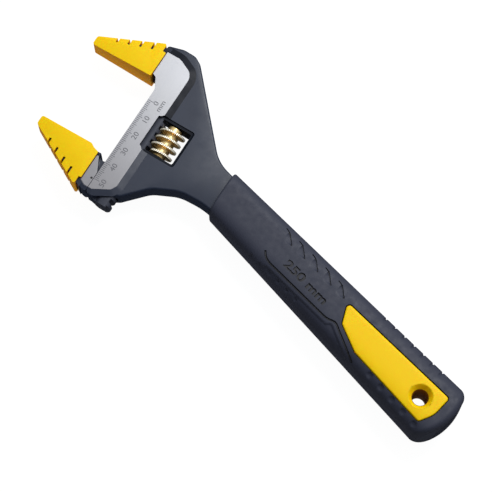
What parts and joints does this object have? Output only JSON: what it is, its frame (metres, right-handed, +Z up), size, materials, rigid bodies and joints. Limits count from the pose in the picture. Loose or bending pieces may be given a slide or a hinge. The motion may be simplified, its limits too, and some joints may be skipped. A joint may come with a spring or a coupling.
{
  "type": "adjustable wrench",
  "caption": "Adjustable wrench: a worm drives a sliding jaw with a millimetre scale, soft caps cover both jaws, and a two-colour cushioned grip has a hang hole.",
  "frame": {"origin": "middle of the footprint of the whole wrench, on the surface it lies on", "axes": "+X along the handle towards the end with the hang hole, +Y towards the fixed jaw's side of the head, +Z up, out of the face that carries the scale"},
  "size_m": [0.2662, 0.0914, 0.0259],
  "materials": {
    "black_steel": "black oxide on forged steel, satin, with a ground bright land",
    "zinc_steel": "zinc plated",
    "brass": "turned, polished",
    "yellow_plastic": "moulded, satin",
    "grey_rubber": "soft moulded, matt"
  },
  "bodies": {
    "frame": {"wrench_body": "black_steel", "worm_pin": "zinc_steel", "worm_spring": "zinc_steel", "grip_core": "yellow_plastic", "grip_overmould": "grey_rubber"},
    "sliding_jaw": {"movable_jaw": "black_steel"},
    "worm": {"worm": "brass"},
    "fixed_cap": {"fixed_jaw_cap": "yellow_plastic"},
    "sliding_cap": {"movable_jaw_cap": "yellow_plastic"}
  },
  "joints": [
    {"name": "jaw_slide", "type": "slide", "parent": "frame", "child": "sliding_jaw", "axis": [-0.2672, 0.9636, 0], "range_m": [0, 0.046]},
    {"name": "worm_spin", "type": "hinge", "parent": "frame", "child": "worm", "pos_m": [-0.06686, 0.00381, 0.01293], "axis": [-0.2672, 0.9636, 0], "range_deg": [-3943, 0]},
    {"name": "fixed_cap_pull", "type": "slide", "parent": "frame", "child": "fixed_cap", "axis": [-0.9636, -0.2672, 0], "range_m": [0, 0.04]},
    {"name": "sliding_cap_pull", "type": "slide", "parent": "sliding_jaw", "child": "sliding_cap", "axis": [-0.9636, -0.2672, 0], "range_m": [0, 0.04]}
  ],
  "couplings": [
    {"joint": "worm_spin", "follows": "jaw_slide", "rad_per_m": -1496}
  ]
}
